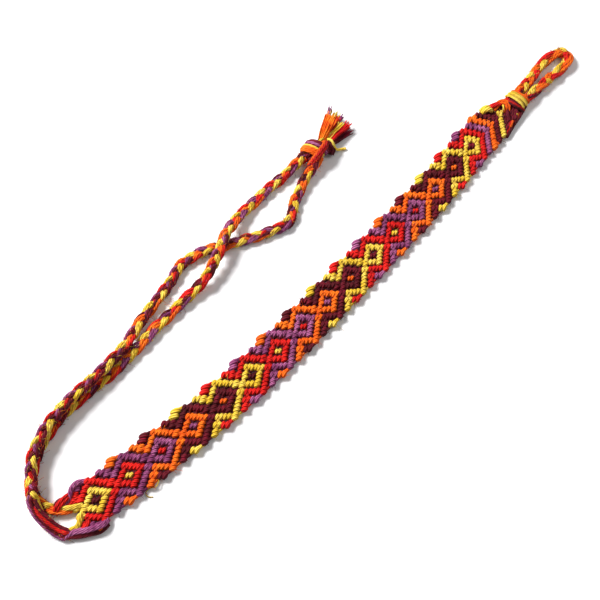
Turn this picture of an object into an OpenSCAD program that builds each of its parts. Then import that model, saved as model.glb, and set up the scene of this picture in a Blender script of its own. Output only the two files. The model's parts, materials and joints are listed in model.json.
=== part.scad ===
// Friendship bracelet of knotted embroidery thread, lying open.
// Millimetres, +X along the band towards the closing loop, +Z up, Z = 0 on the surface it lies on.

/* [Knotted band] */
// Width over the edge knots
band_w = 10.8; // [10:0.1:11.6]
// Thickness over the knots
band_t = 1.9; // [1.6:0.1:2.2]
// Depth of the hollows between the knots
knot_relief = 0.45; // [0.2:0.05:0.7]
// Length of one diamond of the pattern
motif_length = 8.4; // [8:0.1:8.6]
// Radius of the gentle bow that the band lies in
bow_radius = 500; // [400:10:800]

/* [Closing loop and binding] */
// Width of the braid that forms the loop
loop_braid_w = 2.6; // [2:0.1:2.8]
// Height of the braid that forms the loop
loop_braid_h = 2.2; // [1.8:0.1:2.6]
// Thread diameter of the binding's turns
binding_thread = 0.5; // [0.4:0.05:0.6]
// Number of turns in the binding
binding_turns = 5; // [4:1:6]

/* [Ties, end knot and tassel] */
// Width of each braided tie
tie_w = 2.9; // [2.4:0.1:3]
// Height of each braided tie
tie_h = 2; // [1.6:0.1:2.1]
// Radius of a strand pair in the end knot
knot_strand_r = 1.1; // [0.9:0.05:1.2]
// Radius of a lock of the tassel at its cut end
lock_r = 0.85; // [0.6:0.05:0.9]

/* [Hidden] */
$fn = 32;

// Moves the drawing so that the middle of the band, binding and loop lies at the origin
to_middle = [0.73, -0.22, 0];

// Knot lattice: columns run along the band, rows across it, and a knot fills every other place
columns_per_motif = 6;
last_ring = 90;
first_column = -2;
last_column = last_ring + 12;
edge_row = 4;
column_pitch = motif_length / columns_per_motif;
tip_column_pitch = 1.1;
row_pitch = band_w / 9.8;
first_ring_u = -68.1;
middle_ease = 1;
edge_bulge = 1.05;
edge_notch = 0.45;
edge_mid_z = 0.8;
underside_inset = 0.5;

// Lowest point of the bow
bow_low = [-15, -2.4];
// Gentle sideways wave of the band
wave = 0.35;
wave_length = 87;
wave_crest = -32;

// Outline of the band: place along it, sideways shift of its middle, half width
OUTLINE = [
    [-72, 0, 5.0],
    [-70, 0, 5.4],
    [58, 0, 5.4],
    [64, -0.6, 5.3],
    [69, -0.8, 5.0],
    [71, -0.9, 4.4]
];

// Neck that runs into the binding: place along the band, shift of its middle, half width, underside, top
NECK = [
    [72.6, -1.3, 3.8, 0.1, 1.9],
    [74.4, -2.0, 3.2, 0.3, 2.1],
    [75.8, -2.7, 2.2, 0.7, 2.3],
    [78.5, -3.1, 2.2, 0.7, 2.3]
];

// Centre line of the closing loop, from one leg at the binding round to the other
LOOP_ROUTE = [
    [63.8, 1.98, 1.5],
    [67, 2.1, 1.4],
    [71, 2.5, 1.3],
    [75, 3.0, 1.3],
    [79, 3.2, 1.3],
    [82.2, 2.6, 1.3],
    [83.9, 0.9, 1.3],
    [82.6, -1.0, 1.3],
    [79, -1.5, 1.3],
    [75, -1.3, 1.3],
    [71, -0.9, 1.3],
    [67, -0.9, 1.4],
    [64.2, -0.82, 1.5]
];

// Centre lines of the two ties, from the band's end to the end knot
OUTER_TIE_ROUTE = [
    [-87.6, -2.0, 1.05],
    [-90.4, -0.1, 1.05],
    [-92.4, 3.2, 1.2],
    [-93, 7.5, 2.3],
    [-92.5, 11.5, 3.1],
    [-90, 15.4, 3.25],
    [-85.5, 19.1, 3.25],
    [-80, 21.6, 3.25],
    [-74, 22.7, 3.2],
    [-67, 22.9, 3],
    [-60, 23.1, 2.8],
    [-54.5, 23.9, 2.4],
    [-50, 25.5, 1.7],
    [-45.5, 26.8, 1.1],
    [-40, 27.8, 1.05],
    [-36, 28.9, 1.05],
    [-32.5, 30, 1.05],
    [-29, 29.9, 1.05],
    [-25, 28.6, 1.05],
    [-20.5, 26, 1.05],
    [-15.5, 23.3, 1.05],
    [-10, 20.7, 1.05],
    [-6.5, 19.4, 1.05],
    [-3.6, 20.2, 1.05],
    [0, 22.4, 1.05],
    [5, 24.4, 1.3],
    [9, 25.3, 1.9],
    [12.9, 26.3, 2.4]
];
INNER_TIE_ROUTE = [
    [-85.1, 5.6, 1.05],
    [-88.4, 6.2, 1.05],
    [-90.2, 7.6, 1.05],
    [-91.1, 10.5, 1.05],
    [-90.4, 13.8, 1.05],
    [-86.5, 17.5, 1.05],
    [-81, 20.2, 1.05],
    [-75, 21.4, 1.05],
    [-68, 21, 1.05],
    [-61, 20.7, 1.05],
    [-54, 21.4, 1.05],
    [-47, 22.2, 1.05],
    [-40, 22.7, 1.1],
    [-34, 22.6, 1.6],
    [-29, 23.1, 2.7],
    [-24, 24.9, 3.3],
    [-19, 27.3, 3.2],
    [-14, 28.9, 2.1],
    [-9, 29.5, 1.2],
    [-3, 29.7, 1.05],
    [3, 29.5, 1.1],
    [8, 29.5, 1.5],
    [11.65, 29.4, 2]
];

// End knot
knot_centre = [15.1, 28.2, 2.5];
knot_core_r = 2.1;
knot_turn_r = 1.4;

// Cut ends of the tassel's locks: place on the surface and height of the lock's centre
LOCK_ENDS = [
    [24.2, 33.9, 1.3],
    [26, 33.2, 1.2],
    [26.8, 31.8, 1],
    [26.9, 30.1, 1],
    [26, 28.4, 0.95],
    [23.4, 27, 0.95]
];
tassel_root = [18.8, 29.5, 1.9];
tassel_root_r = 1.35;
lock_arch = 0.25;

// Place on the surface of a point u along the bow and v towards its inside
function bow(u, v) = let (a = u / bow_radius * 180 / PI)
    [bow_low[0] + (bow_radius - v) * sin(a), bow_low[1] + bow_radius - (bow_radius - v) * cos(a)];

// Knot column c and row r as a place along the bow: columns lean and bow a little towards the loop
function column_u(c) = first_ring_u + column_pitch * min(c, last_ring)
    + tip_column_pitch * max(c - last_ring, 0)
    + middle_ease * sin(180 * min(max(c, 0), last_ring) / last_ring);
function knot_u(c, r) = column_u(c) + (0.7 + 0.0115 * c) * r / edge_row
    + (0.4 + 0.008 * c) * abs(r) / edge_row;
function middle_v(u) = lookup(u, [for (row = OUTLINE) [row[0], row[1]]])
    - wave * cos(360 * (u - wave_crest) / wave_length);
function half_width(u) = lookup(u, [for (row = OUTLINE) [row[0], row[2]]]);
function is_knot(c, r) = (c + r + 100) % 2 == 0;

// One point of the band's cross-section at column c, at row r, counted outwards past the last row
function band_point(c, r, out, z) = let (
        u = knot_u(c, r),
        v = (r * row_pitch + out) * half_width(u) / (band_w / 2) + middle_v(u),
        p = bow(u, v)
    ) [p[0], p[1], z];

function band_section(c) = let (
        bulge = is_knot(c, edge_row) ? edge_bulge : edge_notch
    ) concat(
        [band_point(c, -edge_row, -bulge, edge_mid_z)],
        [for (r = [-edge_row:edge_row]) band_point(c, r, 0, band_t - (is_knot(c, r) ? 0 : knot_relief))],
        [band_point(c, edge_row, bulge, edge_mid_z)],
        [band_point(c, edge_row, bulge - underside_inset, 0)],
        [band_point(c, -edge_row, underside_inset - bulge, 0)]
    );

function neck_section(row) = let (
        v = function (side) row[1] + side * row[2],
        at = function (side, z) let (p = bow(row[0], v(side))) [p[0], p[1], z]
    ) concat(
        [at(-1, (row[3] + row[4]) / 2)],
        [for (r = [-edge_row:edge_row]) at(r / (edge_row + 1), row[4] - 0.2 * pow(r / edge_row, 2))],
        [at(1, (row[3] + row[4]) / 2)],
        [at(0.8, row[3])],
        [at(-0.8, row[3])]
    );

function mean(points) = [for (axis = [0:2]) [for (p = points) p[axis]] * [for (p = points) 1] / len(points)];

// Closed solid through a row of cross-sections that all have the same number of points
module loft(sections) {
    n = len(sections[0]);
    m = len(sections);
    points = concat([for (s = sections) each s], [mean(sections[0]), mean(sections[m - 1])]);
    sides = [for (i = [0:m - 2], j = [0:n - 1]) let (
            a = i * n + j,
            b = i * n + (j + 1) % n,
            c = b + n,
            d = a + n
        ) each ((i + j) % 2 == 0 ? [[a, b, d], [b, c, d]] : [[a, b, c], [a, c, d]])];
    first_cap = [for (j = [0:n - 1]) [m * n, (j + 1) % n, j]];
    last_cap = [for (j = [0:n - 1]) [m * n + 1, (m - 1) * n + j, (m - 1) * n + (j + 1) % n]];
    polyhedron(points, concat(sides, first_cap, last_cap));
}

// Smooth curve through the route's own points, with a set number of steps between two of them
function spline_point(p0, p1, p2, p3, t) = 0.5 * (2 * p1 + (p2 - p0) * t
    + (2 * p0 - 5 * p1 + 4 * p2 - p3) * t * t + (3 * p1 - p0 - 3 * p2 + p3) * t * t * t);
function spline(route, steps) = let (last = len(route) - 1) concat(
    [for (i = [0:last - 1], k = [0:steps - 1])
        spline_point(route[max(i - 1, 0)], route[i], route[i + 1], route[min(i + 2, last)], k / steps)],
    [route[last]]
);

// Eight-sided flattened tube along a route
function unit(v) = v / norm(v);
function tube_ring(points, i, w, h) = let (
        along = unit(points[min(i + 1, len(points) - 1)] - points[max(i - 1, 0)]),
        side = unit(cross(along, [0, 0, 1])),
        rise = cross(side, along)
    ) [for (k = [0:7]) points[i] + w / 2 * cos(45 * k) * side + h / 2 * sin(45 * k) * rise];
module tube(route, steps, w, h) {
    points = spline(route, steps);
    loft([for (i = [0:len(points) - 1]) tube_ring(points, i, w, h)]);
}

// Lock of thread that runs from the tassel's root over a bend to its cut end
module lock(root, cut_end) {
    bend = (root + cut_end) / 2 + [0, 0, lock_arch];
    stations = [[root, tassel_root_r], [bend, (tassel_root_r + lock_r) / 2], [cut_end, lock_r]];
    for (i = [0, 1])
        hull()
            for (station = [stations[i], stations[i + 1]])
                translate(station[0])
                    sphere(r = station[1], $fn = 12);
}

module band() {
    color("firebrick") translate(to_middle)
        loft(concat([for (c = [first_column:last_column]) band_section(c)], [for (row = NECK) neck_section(row)]));
}

module closing_loop() {
    color("darkorange") translate(to_middle)
        tube(LOOP_ROUTE, 3, loop_braid_w, loop_braid_h);
}

// One turn of the binding: a ring with straight runs over and under the neck
binding_centre = [61.2, 0.75, 1.5];
binding_half_run = 1.55;
binding_turn_r = 1.45;
binding_pitch = 0.45;
binding_tilt = 6;
module binding_turn() {
    centre_r = binding_turn_r - binding_thread / 2;
    for (side = [-1, 1]) {
        translate([0, side * binding_half_run, 0])
            rotate([0, 90, 0])
                rotate([0, 0, side * 90 - 90])
                    rotate_extrude(angle = 180)
                        translate([centre_r, 0])
                            circle(d = binding_thread);
        translate([0, 0, side * centre_r])
            rotate([90, 0, 0])
                cylinder(h = 2 * binding_half_run, d = binding_thread, center = true);
    }
}
module binding() {
    color("gold") translate(to_middle)
        translate(binding_centre)
            rotate([0, 0, -binding_tilt])
                for (k = [0:binding_turns - 1])
                    translate([k * binding_pitch, 0, 0])
                        binding_turn();
}

module outer_tie() {
    color("maroon") translate(to_middle)
        tube(OUTER_TIE_ROUTE, 1, tie_w, tie_h);
}

module inner_tie() {
    color("orchid") translate(to_middle)
        tube(INNER_TIE_ROUTE, 1, tie_w, tie_h);
}

// Two tilted turns of the paired ties, drawn tight round a core
module knot_turn(shift, tilt, heading) {
    translate(shift)
        rotate([0, 0, heading])
            rotate([0, tilt, 0])
                rotate_extrude($fn = 12)
                    translate([knot_turn_r, 0])
                        circle(r = knot_strand_r, $fn = 8);
}
module end_knot() {
    color("orangered")
        translate(to_middle + knot_centre) {
            sphere(r = knot_core_r, $fn = 12);
            knot_turn([-1.1, 1.2, -0.1], 62, 40);
            knot_turn([0.9, -1.1, -0.1], 62, 5);
        }
}

module tassel() {
    color("red") translate(to_middle)
        for (cut_end = LOCK_ENDS)
            lock(tassel_root, cut_end);
}

band();
closing_loop();
binding();
outer_tie();
inner_tie();
end_knot();
tassel();
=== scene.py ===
"""A knotted friendship bracelet of embroidery floss, lying open on a pale table."""

import json
import math
import random

import bpy
from mathutils import Matrix, Vector
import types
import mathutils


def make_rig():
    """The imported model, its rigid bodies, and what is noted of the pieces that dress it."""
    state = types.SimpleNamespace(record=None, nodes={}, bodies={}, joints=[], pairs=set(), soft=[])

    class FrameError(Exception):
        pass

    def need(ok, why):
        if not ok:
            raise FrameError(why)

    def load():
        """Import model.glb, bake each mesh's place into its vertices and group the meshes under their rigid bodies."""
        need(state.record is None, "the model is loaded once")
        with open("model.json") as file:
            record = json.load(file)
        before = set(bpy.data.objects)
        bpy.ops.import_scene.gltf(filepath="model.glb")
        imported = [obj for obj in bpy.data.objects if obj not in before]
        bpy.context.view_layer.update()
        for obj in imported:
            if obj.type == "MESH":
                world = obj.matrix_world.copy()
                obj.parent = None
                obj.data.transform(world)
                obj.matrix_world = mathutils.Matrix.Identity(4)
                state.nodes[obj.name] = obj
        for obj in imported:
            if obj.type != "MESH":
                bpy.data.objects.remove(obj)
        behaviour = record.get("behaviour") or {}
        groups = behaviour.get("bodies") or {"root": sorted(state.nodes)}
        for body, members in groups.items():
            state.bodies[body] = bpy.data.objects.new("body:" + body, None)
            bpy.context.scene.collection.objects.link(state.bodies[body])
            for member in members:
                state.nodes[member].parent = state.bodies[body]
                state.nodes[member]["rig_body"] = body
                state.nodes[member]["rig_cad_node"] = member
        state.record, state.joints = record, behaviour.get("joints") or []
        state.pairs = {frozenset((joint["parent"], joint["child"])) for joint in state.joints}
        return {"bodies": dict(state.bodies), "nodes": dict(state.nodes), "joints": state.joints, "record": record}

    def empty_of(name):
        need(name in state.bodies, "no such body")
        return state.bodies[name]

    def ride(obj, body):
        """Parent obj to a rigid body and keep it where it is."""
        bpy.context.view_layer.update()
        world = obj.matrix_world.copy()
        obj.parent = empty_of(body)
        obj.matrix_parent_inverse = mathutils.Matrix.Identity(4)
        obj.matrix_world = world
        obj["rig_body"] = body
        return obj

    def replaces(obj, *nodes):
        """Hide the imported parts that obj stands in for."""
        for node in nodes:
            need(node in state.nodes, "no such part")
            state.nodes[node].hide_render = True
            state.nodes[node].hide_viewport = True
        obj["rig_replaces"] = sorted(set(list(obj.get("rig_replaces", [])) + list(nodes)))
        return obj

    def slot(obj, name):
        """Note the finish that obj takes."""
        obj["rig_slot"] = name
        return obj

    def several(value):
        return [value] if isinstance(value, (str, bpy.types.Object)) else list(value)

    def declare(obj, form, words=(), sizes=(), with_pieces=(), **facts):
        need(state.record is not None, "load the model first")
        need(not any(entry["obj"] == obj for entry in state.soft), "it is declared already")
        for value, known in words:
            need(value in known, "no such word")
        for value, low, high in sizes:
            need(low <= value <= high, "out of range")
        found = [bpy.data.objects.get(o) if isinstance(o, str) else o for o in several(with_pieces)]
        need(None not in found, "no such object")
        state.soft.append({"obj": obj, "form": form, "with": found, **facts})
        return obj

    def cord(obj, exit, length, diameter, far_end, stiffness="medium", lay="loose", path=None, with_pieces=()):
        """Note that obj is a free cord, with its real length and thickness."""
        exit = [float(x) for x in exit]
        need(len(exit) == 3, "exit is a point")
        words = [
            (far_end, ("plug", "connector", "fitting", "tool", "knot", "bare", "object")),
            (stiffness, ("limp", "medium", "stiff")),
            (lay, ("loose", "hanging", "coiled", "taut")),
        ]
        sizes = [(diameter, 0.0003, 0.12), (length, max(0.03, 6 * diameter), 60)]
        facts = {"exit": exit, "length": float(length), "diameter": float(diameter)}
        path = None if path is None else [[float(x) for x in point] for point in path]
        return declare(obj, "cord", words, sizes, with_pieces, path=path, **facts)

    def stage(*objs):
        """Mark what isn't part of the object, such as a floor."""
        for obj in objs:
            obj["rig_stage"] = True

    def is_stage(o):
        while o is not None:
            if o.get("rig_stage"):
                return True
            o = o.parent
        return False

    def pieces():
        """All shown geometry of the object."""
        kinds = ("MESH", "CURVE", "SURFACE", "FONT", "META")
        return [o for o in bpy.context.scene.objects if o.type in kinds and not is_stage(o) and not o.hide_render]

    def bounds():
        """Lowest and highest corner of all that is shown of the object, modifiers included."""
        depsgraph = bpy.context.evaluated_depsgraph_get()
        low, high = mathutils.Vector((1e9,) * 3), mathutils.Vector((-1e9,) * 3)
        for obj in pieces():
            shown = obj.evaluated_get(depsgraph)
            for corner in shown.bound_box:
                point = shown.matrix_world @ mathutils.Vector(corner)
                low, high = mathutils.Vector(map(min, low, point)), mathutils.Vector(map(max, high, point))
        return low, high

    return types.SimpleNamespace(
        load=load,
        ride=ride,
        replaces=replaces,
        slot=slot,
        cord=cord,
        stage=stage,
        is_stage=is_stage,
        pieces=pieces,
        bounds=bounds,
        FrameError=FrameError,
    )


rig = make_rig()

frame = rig.load()
cad_low, cad_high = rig.bounds()

# Lengths are millimetres, and meshes are made in metres
MM = 0.001
UP = Vector((0, 0, 1))

# The drawing's own zero lies this far from the middle of the band, binding and loop
TO_MIDDLE = Vector((0.73, -0.22, 0))

# The five threads, in the order in which the diamonds follow each other
COLOURS = ["yellow", "red", "purple", "orange", "maroon"]
YELLOW, RED, PURPLE, ORANGE, MAROON = range(5)

# Band: rows of knots run along it, from -EDGE_ROW to EDGE_ROW, and columns across it
BAND_WIDTH = 10.8
BAND_THICKNESS = 1.9
BAND_MIDDLE_Z = BAND_THICKNESS / 2
MOTIF_LENGTH = 8.4
COLUMNS_PER_MOTIF = 6
HALF_MOTIF = COLUMNS_PER_MOTIF // 2
EDGE_ROW = 4
ROW_PITCH = BAND_WIDTH / 9.8
COLUMN_PITCH = MOTIF_LENGTH / COLUMNS_PER_MOTIF
TIP_COLUMN_PITCH = 1.1
# Columns of the first knots, of the last full diamond, and of the chevrons' points
FIRST_COLUMN = -3
LAST_RING = 90
FIRST_CHEVRON = 94
LAST_CHEVRON = 102
# Place of column 0, and how far the columns halfway along lie past an even pitch
FIRST_RING_U = -68.1
MIDDLE_EASE = 1
# How far along the band the edges lie past its middle: both alike, and one more than the other,
# each at column 0 and for each column on
EDGE_LEAD = (0.4, 0.008)
EDGE_SKEW = (0.7, 0.0115)
# The band lies in a slight bow, with a slow wave in it
BOW_RADIUS = 500
BOW_LOW = Vector((-15, -2.4))
WAVE = 0.35
WAVE_LENGTH = 87
WAVE_CREST = -32
# Outline of the band: place along it, sideways shift of its middle, half width
OUTLINE = [
    (-72, 0, 5.0),
    (-70, 0, 5.4),
    (58, 0, 5.4),
    (64, -0.6, 5.3),
    (69, -0.8, 5.0),
    (71, -0.9, 4.4),
]
# How many colours on from its diamond's own colour a knot is: by column from the middle, then by row
RING_STEPS = {
    -3: {3: 1, 1: 0},
    -2: {4: 2, 2: 1, 0: 0},
    -1: {3: 1, 1: 0},
    0: {4: 1, 2: 0, 0: -1},
    1: {3: 1, 1: 0},
    2: {4: 2, 2: 1, 0: 0},
}
# Each knot is two wraps round a thread that runs slantwise across the band
WRAP_THREAD_R = 0.47
WRAP_R = 0.46
WRAP_LEAN = {-1: math.radians(-13), 1: math.radians(24)}
WRAP_OFFSET = 0.445
CARRIER_SLANT = math.radians(38)
# Least and most of each knot's turn in degrees, its size on the flat and upright, and its tone
KNOT_TURNS = (-4, 4)
KNOT_SIZES = (0.97, 1.04)
KNOT_HEIGHTS = (0.86, 0.93)
KNOT_TONES = (0.92, 1.18)
# Painted shade on the knots: tone halfway up a knot, where it is darkest, and how fast it grows towards its top and
# bottom
PAINTED_CREASE_SHADE = 0.435
CREASE_SHADE_FADE = 1.9
CENTRE_KNOT_SIZE = 0.84
# Single edge knots, on the upper and on the lower edge: how much larger, and how far further out
EDGE_KNOT_SIZE = {1: 1.42, -1: 1.1}
EDGE_KNOT_OUT = {1: 0.45, -1: 0.1}
# Threads inside the rows of knots: how far below the band's middle, and how close to it across
CARRIED_R = 0.46
CARRIED_DROP = 0.25
CARRIED_SHARE = 0.97
# Tones of the carried threads along the rows, kept low as painted shade in the gaps between the knots, and of their
# gathered ends
CARRIED_PAINTED_SHADE_TONES = (0.4, 0.6)
GATHERED_TONES = (0.8, 1.0)
# Links between knots of one colour, and how far above the band's middle they lie
LINK_R = 0.42
LINK_RISE = 0.2
LINK_TONE = 0.7
# Threads along the edges: how far they bulge at a single edge knot, and how low they lie elsewhere
EDGE_THREAD_R = 0.45
EDGE_THREAD_TONE = 0.98
EDGE_BULGE = {1: 0.7, -1: 0.3}
EDGE_DROP = 0.35
# Where the rows' threads run together in the neck: place along, across and up, the step from place
# to place, the distance of the rows, and how much closer they come with each step
GATHER_U = 59.6
GATHER_V = 0.7
GATHER_Z = 1.35
GATHER_STEP = 2.2
GATHER_PITCH = 0.52
GATHER_CLOSING = 0.06
# Turn of an edge thread: columns on, rise above the band's middle, least bulge, share of its own bulge
EDGE_TURN = [
    (0, 0, 0.1, 0),
    (0.45, 0.15, 0, 0.8),
    (1.1, 0.05, 0, 1),
    (1.7, -0.1, 0, 0.6),
    (2, -0.2, 0, 0),
]

# Routes of the braids
LOOP_ROUTE = [
    (63.8, 1.98, 1.5),
    (67, 2.1, 1.4),
    (71, 2.5, 1.3),
    (75, 3.0, 1.3),
    (79, 3.2, 1.3),
    (82.2, 2.6, 1.3),
    (83.9, 0.9, 1.3),
    (82.6, -1.0, 1.3),
    (79, -1.5, 1.3),
    (75, -1.3, 1.3),
    (71, -0.9, 1.3),
    (67, -0.9, 1.4),
    (64.2, -0.82, 1.5),
]
OUTER_TIE_ROUTE = [
    (-87.6, -2.0, 1.05),
    (-90.4, -0.1, 1.05),
    (-92.4, 3.2, 1.2),
    (-92.9, 7.4, 2.3),
    (-92.1, 11.1, 3.1),
    (-89.5, 14.9, 3.25),
    (-85.5, 19.1, 3.25),
    (-80, 21.6, 3.25),
    (-74, 22.7, 3.2),
    (-67, 22.9, 3),
    (-60, 23.1, 2.8),
    (-54.5, 23.9, 2.4),
    (-50, 25.5, 1.7),
    (-45.5, 26.8, 1.1),
    (-40, 27.8, 1.05),
    (-36, 28.9, 1.05),
    (-32.5, 30, 1.05),
    (-29, 29.9, 1.05),
    (-25, 28.6, 1.05),
    (-20.5, 26, 1.05),
    (-15.5, 23.3, 1.05),
    (-10, 20.7, 1.05),
    (-6.5, 19.4, 1.05),
    (-3.6, 20.2, 1.05),
    (0, 22.4, 1.05),
    (5, 24.4, 1.3),
    (9, 25.3, 1.9),
    (12.9, 26.3, 2.4),
]
INNER_TIE_ROUTE = [
    (-85.1, 5.6, 1.05),
    (-88.4, 6.2, 1.05),
    (-90.2, 7.6, 1.05),
    (-91.5, 10.5, 1.05),
    (-90.8, 14.1, 1.05),
    (-87, 18.2, 1.05),
    (-81.2, 21, 1.05),
    (-75, 22.2, 1.05),
    (-68, 22, 1.05),
    (-61, 21.6, 1.05),
    (-54, 21.9, 1.05),
    (-47, 22.4, 1.05),
    (-40, 22.7, 1.1),
    (-34, 22.6, 1.6),
    (-29, 23.1, 2.7),
    (-24, 24.9, 3.3),
    (-19, 27.3, 3.2),
    (-14, 28.9, 2.1),
    (-9, 29.5, 1.2),
    (-3, 29.7, 1.05),
    (3, 29.5, 1.1),
    (8, 29.5, 1.5),
    (11.65, 29.4, 2),
]
TIE_WIDTH = 2.9
# Where the plaits begin along their routes, past their roots and the binding
OUTER_BEGIN = 4.6
INNER_BEGIN = 4.4
LOOP_BEGIN = 1.0

# Camera, found from the photograph's perspective
CAMERA_PLACE = Vector((-78.86, -54.28, 183.31))
CAMERA_FORWARD = Vector((0.3027, 0.2844, -0.9096))
CAMERA_LENS = 51
CAMERA_SENSOR = 36
CAMERA_CLIP_START = 0.005

# Lamps that point at the zero: name, place and size in metres, power
LAMPS = [
    ("window", (-0.10, 0.45, 0.42), 0.25, 8.6),
    ("fill", (0.35, -0.25, 0.5), 0.5, 1.0),
]
SKY_COLOUR = (1.0, 0.98, 0.96, 1)
SKY_STRENGTH = 0.28
FLOOR_SIZE = 3

# Floss: plies in a thread, and the length in which they turn once round it
PLIES = 6
PLY_TWIST = 7.0
# Pattern of the fibres: how fast it changes along the thread, round it, and with the twist
FIBRE_ALONG = 1.3
FIBRE_ROUND = 34
FIBRE_TWIST = 4.9
FIBRE_TONE = 9
BUMP_DEPTH = 0.00016

# Distance between a path's points, for a braid, a thread, a ribbon and a fine strand
BRAID_STEP = 0.5
THREAD_STEP = 0.4
RIBBON_STEP = 0.45
STRAND_STEP = 0.9

# Seeds of the random draws
KNOT_SEED = 11
CARRIED_SEED = 5
BRAID_SEED = 3
TASSEL_SEED = 21
FIBRE_SEED = 5


# Curves and places


def bow(u, v, z=0.0):
    """Place of a point u along the band's bow and v across it."""
    angle = u / BOW_RADIUS
    return Vector(
        (
            BOW_LOW.x + (BOW_RADIUS - v) * math.sin(angle),
            BOW_LOW.y + BOW_RADIUS - (BOW_RADIUS - v) * math.cos(angle),
            z,
        )
    )


def lookup(rows, key, column):
    """Value of a column at key, in straight lines between the rows."""
    if key <= rows[0][0]:
        return rows[0][column]
    for low, high in zip(rows, rows[1:]):
        if key <= high[0]:
            share = (key - low[0]) / (high[0] - low[0])
            return low[column] + share * (high[column] - low[column])
    return rows[-1][column]


def column_u(c):
    """Place along the band of knot column c."""
    ring = min(c, LAST_RING)
    ease = MIDDLE_EASE * math.sin(math.pi * max(ring, 0) / LAST_RING)
    return FIRST_RING_U + COLUMN_PITCH * ring + TIP_COLUMN_PITCH * max(c - LAST_RING, 0) + ease


def lattice(c, r, z=0.0, out=0.0):
    """Place of knot column c and row r, moved outwards by out past its row."""
    share = r / EDGE_ROW
    skew = EDGE_SKEW[0] + EDGE_SKEW[1] * c
    lead = EDGE_LEAD[0] + EDGE_LEAD[1] * c
    u = column_u(c) + skew * share + lead * abs(share)
    middle = lookup(OUTLINE, u, 1) - WAVE * math.cos(math.tau * (u - WAVE_CREST) / WAVE_LENGTH)
    row_v = r * ROW_PITCH + (math.copysign(out, r) if r else out)
    return bow(u, row_v * lookup(OUTLINE, u, 2) / (BAND_WIDTH / 2) + middle, z)


def knot_colour(c, r):
    """Colour of the knot at column c and row r: nested diamonds, then chevrons near the loop."""
    apex = c + abs(r)
    if apex >= FIRST_CHEVRON:
        return (RED + (apex - FIRST_CHEVRON) // 2) % len(COLOURS)
    motif = (c + HALF_MOTIF) // COLUMNS_PER_MOTIF
    return (motif + RING_STEPS[c - COLUMNS_PER_MOTIF * motif][abs(r)]) % len(COLOURS)


def knot_sites():
    """Column and row of every knot, with the end towards the loop cut to a point."""
    for c in range(FIRST_COLUMN, LAST_CHEVRON + 1):
        for r in range(-EDGE_ROW, EDGE_ROW + 1):
            missing = c + abs(r) > LAST_CHEVRON or (c + r == LAST_CHEVRON and r > 0)
            if (c + r) % 2 == 0 and not missing:
                yield c, r


def spline(route, spacing):
    """Points along a smooth curve through the route's points, about spacing apart."""
    route = [Vector(p) for p in route]
    last = len(route) - 1
    points = []
    for i in range(last):
        p0, p1, p2, p3 = route[max(i - 1, 0)], route[i], route[i + 1], route[min(i + 2, last)]
        steps = max(2, round((p2 - p1).length / spacing))
        for k in range(steps):
            t = k / steps
            cubic = 3 * p1 - p0 - 3 * p2 + p3
            points.append(
                0.5 * (2 * p1 + (p2 - p0) * t + (2 * p0 - 5 * p1 + 4 * p2 - p3) * t * t + cubic * t**3)
            )
    return points + [route[last]]


def travel(points):
    """Length along the points up to each one."""
    total = [0.0]
    for a, b in zip(points, points[1:]):
        total.append(total[-1] + (b - a).length)
    return total


def directions(points):
    """Way the points head at each one."""
    last = len(points) - 1
    ends = [(points[max(i - 1, 0)], points[min(i + 1, last)]) for i in range(last + 1)]
    return [(b - a).normalized() for a, b in ends]


# Threads


class Skein:
    """Threads gathered into one mesh. U runs along each thread in millimetres, V once round it."""

    def __init__(self):
        self.points = []
        self.faces = []
        self.uvs = []
        self.tones = []
        self.colours = []

    def thread(self, path, radius, colour, tone=1.0, sides=8, plies=PLIES):
        """A tube along path. radius is a number, or one for each point."""
        radii = radius if isinstance(radius, list) else [radius] * len(path)
        along = directions(path)
        # A finer strand shows fewer plies, so the floss pattern is stretched over it
        fineness = plies / PLIES
        total = [s * fineness for s in travel(path)]
        side = along[0].orthogonal().normalized()
        start = len(self.points)
        for point, heading, r in zip(path, along, radii):
            side = (side - heading * side.dot(heading)).normalized()
            rise = heading.cross(side)
            for k in range(sides):
                angle = math.tau * k / sides
                self.points.append(point + (side * math.cos(angle) + rise * math.sin(angle)) * r)
                self.tones.append(tone)
        for i in range(len(path) - 1):
            for k in range(sides):
                a = start + i * sides + k
                b = start + i * sides + (k + 1) % sides
                self.faces.append((a, b, b + sides, a + sides))
                low, high = k / sides * fineness, (k + 1) / sides * fineness
                self.uvs += [
                    (total[i], low),
                    (total[i], high),
                    (total[i + 1], high),
                    (total[i + 1], low),
                ]
                self.colours.append(colour)
        end = start + (len(path) - 1) * sides
        caps = ((range(start, start + sides)[::-1], 0.0), (range(end, end + sides), total[-1]))
        for ring, at in caps:
            self.faces.append(tuple(ring))
            self.uvs += [(at, k / sides) for k in range(sides)]
            self.colours.append(colour)

    def build(self, name):
        """One object of all the threads, with the five finishes as its slots."""
        mesh = bpy.data.meshes.new(name)
        mesh.from_pydata([(p + TO_MIDDLE) * MM for p in self.points], [], self.faces)
        for finish in FINISHES:
            mesh.materials.append(finish)
        mesh.polygons.foreach_set("material_index", self.colours)
        uv_map = mesh.uv_layers.new(name="thread")
        uv_map.uv.foreach_set("vector", [n for uv in self.uvs for n in uv])
        tone = mesh.attributes.new("tone", "FLOAT", "POINT")
        tone.data.foreach_set("value", self.tones)
        mesh.shade_smooth()
        mesh.update()
        piece = bpy.data.objects.new(name, mesh)
        bpy.context.scene.collection.objects.link(piece)
        return piece


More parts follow.
